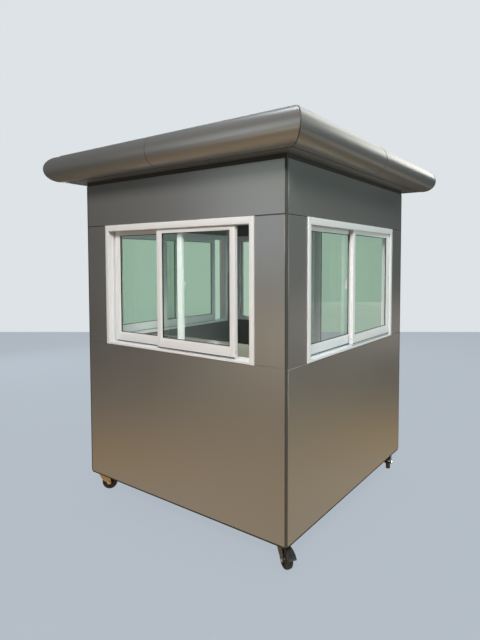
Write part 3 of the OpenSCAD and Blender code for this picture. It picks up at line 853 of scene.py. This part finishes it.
def stepped_section(width):
    """Outline of a door jamb or head, with the step that the leaf closes against."""
    behind = LEAF_T - PROUD + 0.006
    return rounded([(0, -PROUD), (width, -PROUD), (width, behind), (width + STOP, behind),
                    (width + STOP, WALL_T), (0, WALL_T)], EDGE, 2)


def build_door_frame():
    """Jambs, head and threshold, and the outer knuckles of the hinges with their pins."""
    face, back, jamb, head, lip = -PROUD, WALL_T, 0.024, 0.030, 0.012
    z0, z1 = low("door_frame")[2], high("door_frame")[2]
    between = DOOR_X0 + jamb, DOOR_X1 - jamb
    foot = rounded([(face, z0), (face, FLOOR_TOP + 0.004), (face + lip, FLOOR_TOP + 0.006),
                    (back - lip, FLOOR_TOP + 0.006), (back, FLOOR_TOP + 0.004), (back, z0)],
                   EDGE, 2)
    parts = [bar(stepped_section(jamb) + [DOOR_X0, 0], z0, z1, WHITE, "up"),
             bar(stepped_section(jamb) * [-1, 1] + [DOOR_X1, 0], z0, z1, WHITE, "up"),
             bar(stepped_section(head)[:, ::-1] * [1, -1] + [0, z1], *between, WHITE),
             bar(foot, *between, WHITE)]
    near, far = HINGE_HALF + HINGE_GAP, 2 * HINGE_HALF
    for z in HINGE_Z:
        parts += hinge_half(1, z - far, z - near) + hinge_half(1, z + near, z + far)
        parts.append(turned_part(HINGE_PIN, (*PIN, z), (0, 0, 1), STEEL, 24))
    wall_piece("back", "door_frame_bars", parts, "door_frame", "white_aluminium")


def build_door_leaf():
    """The glazed panel, the kick panel with its raised field, and the hinge halves."""
    (a0, a1), (z0, z1), face = LEAF, LEAF_Z, -PROUD
    parts = glazed_panel_parts(a0, a1, z0, z1, DOOR_STILE, GLASS_Z[0] - z0, z1 - GLASS_Z[1],
                               face, LEAF_T)
    for front, way in ((face, -1), (face + LEAF_T, 1)):
        foot, crest = front - way * 0.001, front + way * 0.0016
        ridge = rounded([(0, foot), (0.004, crest), (0.010, crest), (0.014, foot)], 0.0008, 2)
        parts.append(frame_ring(ridge, (a0 + 0.075, z0 + 0.045),
                                (a1 - 0.075, GLASS_Z[0] - 0.045), WHITE))
    for z in HINGE_Z:
        parts += hinge_half(-1, z - HINGE_HALF, z + HINGE_HALF)
    wall_piece("back", "door_leaf_bars", parts, "door_leaf", "white_aluminium", "door")


build_door_frame()
build_door_leaf()

# %% Door handles
HANDLE_X, _, HANDLE_Z = (low("door_handles") + high("door_handles")) / 2 * [-1, 1, 1]
ROSE = [(0.013, 0), (0.013, 0.003), (0.011, 0.0045), (0.008, 0.005)]
KEY_PLATE = [(0.020, 0), (0.020, 0.003), (0.018, 0.005), (0.009, 0.0055), (0.008, 0.009),
             (0.005, 0.0095)]


def handle_parts(face, way):
    """A bent pull handle: straight grip, and feet that turn into the leaf on quarter circles.
    The round plate of the lock sits below it."""
    half, stand, bend, grip_r = 0.092, 0.038, 0.022, 0.0075
    top = arc(bend, (stand - bend, half - bend), 0, 0.5, 8)
    line = np.concatenate([[(-0.001, -half)], top[::-1] * [1, -1], top, [(-0.001, half)]])
    path = np.stack([np.full(len(line), HANDLE_X), face + way * line[:, 0],
                     HANDLE_Z + line[:, 1]], axis=1)
    parts = [bent_tube(path, grip_r, (1, 0, 0), STEEL, 20)]
    for profile, height, sides in ((ROSE, -half, 32), (ROSE, half, 32), (KEY_PLATE, -0.150, 40)):
        parts.append(turned_part(profile, (HANDLE_X, face, HANDLE_Z + height), (0, way, 0),
                                 STEEL, sides))
    return parts


wall_piece("back", "pull_handles", handle_parts(-PROUD, -1) + handle_parts(LEAF_T - PROUD, 1),
           "door_handles", "handle_steel", "door")

# %% [markdown]
# ## Inside
# The worktop is a laminated board with a rounded front edge on two steel brackets. A skirting
# runs round the floor.

# %% Worktop and skirting
def build_worktop():
    """The board, and two brackets of flat sheet whose lower edge runs on a slant."""
    lo, hi = low("worktop"), high("worktop")
    soft, arm_long, arm_drop = (hi[2] - lo[2]) * 0.4, 0.38, 0.26
    lip = rounded(square(lo[1], lo[2], hi[1], hi[2]), [0.001, soft, soft, 0.001], 5)
    parts = [bar(lip, lo[0], hi[0], LAMINATE)]
    arm = [(0, 0), (arm_long, 0), (arm_long, -0.012), (0.03, -arm_drop), (0, -arm_drop)]
    arm = rounded(np.array(arm) + [lo[1], lo[2]], 0.004, 2)
    for side in (-1, 1):
        across = side * (hi[0] - 0.25)
        parts.append(bar(arm, across - 0.002, across + 0.002, WHITE))
    piece("worktop_board", parts, slot="worktop_board", stands_for=["worktop"])


def build_skirting():
    """A low strip at the foot of the three closed walls, and beside the doorway."""
    x, y, t, foot, top = HALF_W - WALL_T, HALF_D - WALL_T, 0.008, FLOOR_TOP, FLOOR_TOP + 0.060
    strips = [((-x, -y, foot), (x, -y + t, top)), ((-x, -y + t, foot), (-x + t, y, top)),
              ((x, -y + t, foot), (x - t, y, top)), ((-x + t, y - t, foot), (-DOOR_X1, y, top))]
    parts = [soft_block(start, stop, 0.002, LINING) for start, stop in strips]
    piece("skirting", parts, slot="pale_sheet")


build_worktop()
build_skirting()

# %% [markdown]
# ## Casters
# Each caster is a pressed plate on four bolts, a ball race, a fork of bent sheet and a wheel
# with a tyre round a ribbed hub. One recipe makes it pointing along the first axis, and a turn
# and a shift put it at its corner, where the working model's joints say.

# %% Caster parts
CROWN_TOP = high("front_left_fork")[2]
PLATE_TOP = high("caster_plates")[2]
WHEEL_R = high("front_left_wheel")[2] / 2
LEG_IN, LEG_T, BOSS_R = 0.021, 0.003, 0.015
PLATE_HALF, PLATE_T, BOLT_AT = 0.050, 0.004, 0.037
TRAIL = math.dist(JOINTS["front_left_roll"][:2], JOINTS["front_left_swivel"][:2])


def at_corner(corner, swivel=True):
    """Turns a caster on its own upright axis and moves it to its corner."""
    pivot, axle = JOINTS[f"{corner}_swivel"], JOINTS[f"{corner}_roll"]
    c, s = 1.0, 0.0
    if swivel:
        c, s = (axle[0] - pivot[0]) / TRAIL, (axle[1] - pivot[1]) / TRAIL

    def change(points):
        x, y = points[:, 0], points[:, 1]
        return np.stack([c * x - s * y + pivot[0], s * x + c * y + pivot[1], points[:, 2]], axis=1)
    return change


def hung_part(profile, material, sides, x=0, y=0):
    """A turned part that hangs under the mounting plate."""
    return turned_part(profile, (x, y, PLATE_TOP - PLATE_T), (0, 0, -1), material, sides)


def axle_part(profile, material, sides, ring=False, out=0.0, side=1):
    """A part turned about the axle, from the wheel's middle or from `out` to one side of it."""
    return turned_part(profile, (TRAIL, side * out, WHEEL_R), (0, side, 0), material, sides, ring)


def plate_parts(metal):
    """Mounting plate, upper race, and a bolt head and washer at each corner."""
    plate = rectangle(-PLATE_HALF, -PLATE_HALF, PLATE_HALF, PLATE_HALF, 0.009, 6)
    race = [(0.0300, 0.0), (0.0300, 0.0035), (0.0285, 0.0055), (0.0270, 0.0079), (0.0120, 0.0080)]
    nut = [(0.0105, 0.0150), (0.0130, 0.0155), (0.0130, 0.0190), (0.0115, 0.0200)]
    washer = [(0.0085, 0), (0.0085, 0.0012), (0.0078, 0.0014)]
    bolt = [(0.0065, 0.0014), (0.0065, 0.0052), (0.0056, 0.0060)]
    parts = [bar(plate, PLATE_TOP - PLATE_T, PLATE_TOP, metal, "up"), hung_part(race, metal, 48),
             hung_part([(0.0078, 0.0), (0.0078, 0.0146)], STEEL, 24), hung_part(nut, STEEL, 6)]
    for x in (-BOLT_AT, BOLT_AT):
        for y in (-BOLT_AT, BOLT_AT):
            parts += [hung_part(washer, STEEL, 24, x, y), hung_part(bolt, STEEL, 6, x, y)]
    return parts


def leg_outline():
    """Side view of a fork leg: its front edge swells out from the crown and its back edge drops
    to a round boss at the axle, whose lower half is an arc."""
    boss = arc(BOSS_R, (TRAIL, WHEEL_R), -0.02, -0.98, 14)
    s = np.linspace(0, 1, 8)[:, None]
    crown, front, back = CROWN_TOP - 0.001, -0.025, 0.033
    rise = curve((TRAIL - BOSS_R, WHEEL_R + 0.001), (TRAIL - 0.044, WHEEL_R + 0.010),
                 (front, crown - 0.012), s)
    fall = curve((back, crown - 0.010), (TRAIL + 0.012, WHEEL_R + 0.036),
                 (TRAIL + BOSS_R, WHEEL_R + 0.001), s)
    return np.concatenate([boss, rise, [(front, crown), (back, crown)], fall])


def fork_parts(metal):
    """Crown with its lower race, two legs with rolled rims, axle bolt and nut, brake pedal."""
    crown0, out, hole = CROWN_TOP - 0.006, LEG_IN + LEG_T, 0.0105
    race = [(hole, 0.0), (0.0265, 0.0), (0.0280, 0.0018), (0.0280, 0.0050), (0.0262, 0.0060),
            (hole, 0.0060)]
    parts = [turned_part(race, (0, 0, crown0), (0, 0, 1), metal, 48, ring=True)]
    for x0, x1 in ((0.009, 0.033), (-0.025, -0.009)):
        wing = rectangle(x0, -LEG_IN, x1, LEG_IN, 0.001)
        parts.append(bar(wing, crown0, CROWN_TOP - 0.0004, metal, "up"))
    leg = leg_outline()
    rim = leg + (leg.mean(axis=0) - leg) * 0.06
    washer = [(0.0095, 0.0), (0.0095, 0.0012), (0.0088, 0.0015)]
    nut = [(0.0088, 0.0015), (0.0088, 0.0042), (0.0072, 0.0055)]
    for side in (-1, 1):
        parts += [bar(leg, side * LEG_IN, side * out, metal, "inward"),
                  bar(rim, side * (out - 0.0002), side * (out + 0.0012), metal, "inward"),
                  axle_part(washer, STEEL, 32, out=out + 0.001, side=side),
                  axle_part(nut, STEEL, 6, out=out + 0.001, side=side)]
    parts.append(axle_part([(0.0059, -out), (0.0059, out)], STEEL, 24))
    return parts + pedal_parts()


def pedal_parts():
    """A black lever of bent sheet over the wheel, with a ribbed pad for the foot."""
    top, s = CROWN_TOP, np.linspace(0, 1, 14)[:, None]
    crest = (0.021, top - 0.0006), (0.098, top + 0.001), (0.115, top - 0.037)
    under = (0.021, top - 0.0040), (0.094, top - 0.003), (0.112, top - 0.037)
    side_view = np.concatenate([curve(*crest, s), curve(*under, s)[::-1]])
    parts = [bar(side_view, -0.020, 0.020, BLACK_STEEL, "inward")]
    for x, z in curve(*crest, 0.52 + 0.11 * np.arange(4)[:, None]):
        parts.append(soft_block((x - 0.0022, -0.017, z - 0.0015), (x + 0.0022, 0.017, z + 0.0012),
                                0.001, BLACK_STEEL))
    return parts


def both_sides(half):
    """One half of a profile, joined to its mirror image across the wheel's middle."""
    return np.concatenate([half, np.array(half)[::-1] * [1, -1]])


def wheel_parts():
    """Tyre with a crowned tread and two grooves, hub disc with ribs, and a bearing collar."""
    r, half, edge = WHEEL_R, 0.016, 0.0155
    s = np.linspace(-1, 1, 25)
    groove = np.abs(np.abs(s) - 0.42) < 0.05
    tread = np.stack([r - 0.0035 * np.abs(s) ** 3 - 0.0009 * groove, s * edge], axis=1)
    inside = both_sides([(r * 0.74, edge), (r * 0.70, half - 0.004)])
    web = both_sides([(0.0130, -0.0050), (r * 0.64, -0.0050), (r * 0.66, -0.0120),
                      (r * 0.715, -0.0120)])
    collar = both_sides([(0.0062, -0.0204), (0.0132, -0.0204), (0.0140, -0.0190)])
    parts = [axle_part(np.concatenate([tread, inside]), TYRE, 96, ring=True),
             axle_part(web, HUB, 64, ring=True), axle_part(collar, HUB, 40, ring=True)]
    rib = rectangle(0.0125, -0.0012, r * 0.66, 0.0012, 0.0006)
    for k in range(8):
        c, s = math.cos(k * math.pi / 4), math.sin(k * math.pi / 4)
        turned = rib @ np.array([(c, s), (-s, c)]) + [TRAIL, r]
        parts.append(bar(turned, -0.0115, 0.0115, HUB, "inward"))
    return parts


# %% Build the casters
plates = []
for corner in ("front_left", "front_right", "back_right", "back_left"):
    metal, fork_slot = BLACK_STEEL, "black_steel"
    if corner == "front_left":
        metal, fork_slot = ZINC, "zinc_plate"
    plates += moved(plate_parts(metal), at_corner(corner, swivel=False))
    piece(f"{corner}_fork_parts", moved(fork_parts(metal), at_corner(corner)),
          body=f"{corner}_caster", slot=fork_slot, stands_for=[f"{corner}_fork"])
    piece(f"{corner}_wheel_parts", moved(wheel_parts(), at_corner(corner)),
          body=f"{corner}_wheel_body", slot="black_wheel", stands_for=[f"{corner}_wheel"])
piece("caster_plates_bolted", plates, slot="black_steel", stands_for=["caster_plates"])

# %% [markdown]
# ## Pieces that keep their plain shape
# The posts, rails, floor, ceiling, soffit and glass are right as they are and only need their
# finish.

# %% Finish the plain pieces
PLAIN = {"side_base_rails": DARK, "cross_base_rails": DARK, "corner_posts": DARK, "head_rails": DARK,
         "roof_beams": DARK, "floor_board": FLOOR_VINYL, "ceiling": LINING, "soffit": CLADDING,
         "window_glass": GLASS, "door_glass": GLASS}
for node_name, node_finish in PLAIN.items():
    node_object = frame["nodes"][node_name]
    node_object.data.materials.clear()
    node_object.data.materials.append(node_finish)
print("plain pieces", sorted(PLAIN))

# %% [markdown]
# ## Studio
# The floor is plain and pale, and its far edge lies a little behind the booth. It glows a
# little, as a lit studio floor does, so that it stays even. A booth like this stands outdoors on
# warm ground, and its satin sheets mirror that ground, warmest close by. So the light that the
# floor throws back onto the booth has rings of its own tone, and the floor itself still looks
# plain. The world is treated the same way: pale where it is seen straight, a little greener
# through the glass, and dim as a light on the booth, which takes its shading from the soft
# boxes.

# %% Floor and world
CAMERA_AT = Vector((2.0769, -2.7911, 1.5708))
AZIMUTH, PITCH = math.radians(35.02), math.radians(2.79)
BACKDROP = (0.723, 0.768, 0.791)
BEHIND_GLASS = (0.50, 0.68, 0.56)
WORLD_LIGHT = (0.04, 0.043, 0.046)
FLOOR_TONE = (0.485, 0.539, 0.597)
FLOOR_GLOW = 0.93
# How much of the glow the eye gets in each colour
FLOOR_SHOWN = (0.939, 0.944, 0.949)
FLOOR_FAR, FLOOR_HALF = 10.8, 14
RING_REACH = (1.0, 6.0)
# Each: distance from the middle of the booth in metres, colour of the light thrown back there
FLOOR_RINGS = [
    (1.0, (0.595, 0.440, 0.279)),
    (1.8, (0.526, 0.326, 0.105)),
    (3.0, (0.215, 0.149, 0.075)),
    (6.0, (0.0, 0.0, 0.0)),
]


def lights_the_booth(owner):
    """1 for a ray that carries light to a matt or glossy surface, 0 for the eye and for what is
    seen through glass: the larger of diffuse and glossy, less transmission, kept above 0."""
    rays = add_node(owner, "LightPath", {}).outputs
    either = add_node(owner, "Math", {0: rays["Is Diffuse Ray"], 1: rays["Is Glossy Ray"]})
    either.operation = "MAXIMUM"
    left = add_node(owner, "Math", {0: either.outputs["Value"], 1: rays["Is Transmission Ray"]})
    left.operation = "SUBTRACT"
    left.use_clamp = True
    return left.outputs["Value"]


def floor_rings(paint):
    """The colour of the light thrown back at each distance from the middle of the booth."""
    where = paint.node_tree.nodes["Texture Coordinate"].outputs["Object"]
    reach = add_node(paint, "VectorMath", {0: where})
    reach.operation = "LENGTH"
    share = span(paint, reach.outputs["Value"], 0.0, 1.0, *RING_REACH)
    rings = add_node(paint, "ValToRGB", {"Fac": share})
    stops = rings.color_ramp.elements
    while len(stops) < len(FLOOR_RINGS):
        stops.new(0.5)
    for stop, (distance, colour) in zip(stops, FLOOR_RINGS):
        stop.position = (distance - RING_REACH[0]) / (RING_REACH[1] - RING_REACH[0])
        stop.color = (*colour, 1)
    return rings.outputs["Color"]


def build_floor():
    """A flat sheet turned to face the camera, with its far edge FLOOR_FAR metres from it."""
    forward = np.array([-math.sin(AZIMUTH), math.cos(AZIMUTH)])
    right = np.array([math.cos(AZIMUTH), math.sin(AZIMUTH)])
    far, half = FLOOR_FAR, FLOOR_HALF
    corners = [np.array(CAMERA_AT[:2]) + forward * f + right * r
               for f, r in ((far, -half), (far, half), (-half, half), (-half, -half))]
    mesh = bpy.data.meshes.new("studio_floor")
    mesh.from_pydata([(x, y, 0.0) for x, y in corners], [], [(0, 3, 2, 1)])
    ground = bpy.data.objects.new("studio_floor", mesh)
    bpy.context.scene.collection.objects.link(ground)
    paint = finish("studio_floor_paint", [c * (1 - FLOOR_GLOW) for c in FLOOR_TONE], drift=0.01,
                   rough=0.9, grain=0.0)
    shown = (*[t * FLOOR_GLOW * s for t, s in zip(FLOOR_TONE, FLOOR_SHOWN)], 1)
    glow = blend(paint, lights_the_booth(paint), shown, floor_rings(paint))
    feed(paint, paint.node_tree.nodes["Principled BSDF"], {
        "Specular IOR Level": 0.0, "Emission Strength": 1.0, "Emission Color": glow})
    mesh.materials.append(paint)


def build_world():
    """Three even tones, chosen by the kind of ray: the pale backdrop for the eye, the greener
    daylight of a yard for what is seen through the glass, and a dim one as light for the booth."""
    world = bpy.data.worlds.new("studio")
    bpy.context.scene.world = world
    world.use_nodes = True
    through = add_node(world, "LightPath", {}).outputs["Is Transmission Ray"]
    nodes = world.node_tree.nodes
    seen = feed(world, nodes["Background"], {
        "Color": blend(world, through, (*BACKDROP, 1), (*BEHIND_GLASS, 1))})
    lighting = add_node(world, "Background", {"Color": (*WORLD_LIGHT, 1)})
    either = add_node(world, "MixShader", {
        "Fac": lights_the_booth(world), 1: seen.outputs["Background"],
        2: lighting.outputs["Background"]})
    feed(world, nodes["World Output"], {"Surface": either.outputs["Shader"]})


build_floor()
build_world()
bpy.context.scene.view_settings.view_transform = "Standard"

# %% Soft boxes
# Each: name, place, the point it faces, width, height, light in watts for each colour
SOFT_BOXES = [
    ("front_high", (-2.0, -5.0, 3.2), (0, 0, 1.2), 2.0, 1.6, (6.2, 7.3, 6.4)),
    ("front_mid", (-2.2, -5.0, 2.0), (0.5, -0.8, 1.6), 1.4, 1.2, (6.2, 7.2, 8.4)),
    ("front_low", (-1.2, -4.6, 0.5), (0, 0, 0.8), 2.4, 0.8, (7.8, 6.5, 4.3)),
    ("camera_key", (3.0, -4.6, 4.8), (0.3, -0.3, 1.2), 1.4, 1.4, (368.5, 349.8, 338.5)),
    ("right_high", (2.2, 5.5, 4.2), (0, 0, 1.4), 2.6, 1.4, (19.1, 18.8, 17.9)),
    ("right_low", (3.0, 4.6, 0.5), (0, 0, 0.8), 2.4, 0.8, (3.8, 3.2, 2.9)),
    ("sky_behind", (0.8, 5.6, 5.6), (0.9, 0, 2.2), 4.0, 4.5, (95.0, 95.0, 90.0)),
    ("side", (6.0, 0.6, 2.2), (0, 0, 1.2), 2.4, 2.4, (78.9, 107.6, 107.3)),
    ("top", (0.3, -0.3, 6.0), (0, 0, 0), 3.0, 3.0, (120, 135, 150)),
    ("left_soft", (-6.0, 1.0, 2.4), (-0.8, 0, 1.2), 2.4, 2.4, (170, 175, 180)),
    ("back_soft", (-3.6, 5.2, 2.6), (-0.2, 0.8, 1.2), 2.0, 2.4, (170, 175, 180)),
]


def soft_light(name, place, aim, width, height, watts):
    """A rectangular lamp at a place, turned to face a point, and not seen through the glass."""
    data = bpy.data.lights.new(name, "AREA")
    data.shape = "RECTANGLE"
    data.size, data.size_y = width, height
    data.energy = max(watts)
    data.color = [w / max(watts) for w in watts]
    lamp = bpy.data.objects.new(name, data)
    lamp.location = place
    lamp.visible_transmission = False
    lamp.rotation_euler = (Vector(aim) - Vector(place)).to_track_quat("-Z", "Y").to_euler()
    bpy.context.scene.collection.objects.link(lamp)
    return lamp


for box in SOFT_BOXES:
    soft_light(*box)
print("soft boxes", len(SOFT_BOXES))


# %% Camera
LENS_MM, SENSOR_MM, SHIFT_X, SHIFT_Y = 27.2311875, 36.0, -0.042375, -0.054


def build_camera():
    """A wide lens at head height, just off the near corner. The small shifts put the booth
    where it stands in the frame without tilting its uprights."""
    data = bpy.data.cameras.new("camera")
    data.sensor_width, data.lens = SENSOR_MM, LENS_MM
    data.shift_x, data.shift_y = SHIFT_X, SHIFT_Y
    camera = bpy.data.objects.new("camera", data)
    camera.location = CAMERA_AT
    forward = Vector((-math.sin(AZIMUTH) * math.cos(PITCH), math.cos(AZIMUTH) * math.cos(PITCH),
                      -math.sin(PITCH)))
    camera.rotation_euler = forward.to_track_quat("-Z", "Y").to_euler()
    bpy.context.scene.collection.objects.link(camera)
    bpy.context.scene.camera = camera


build_camera()
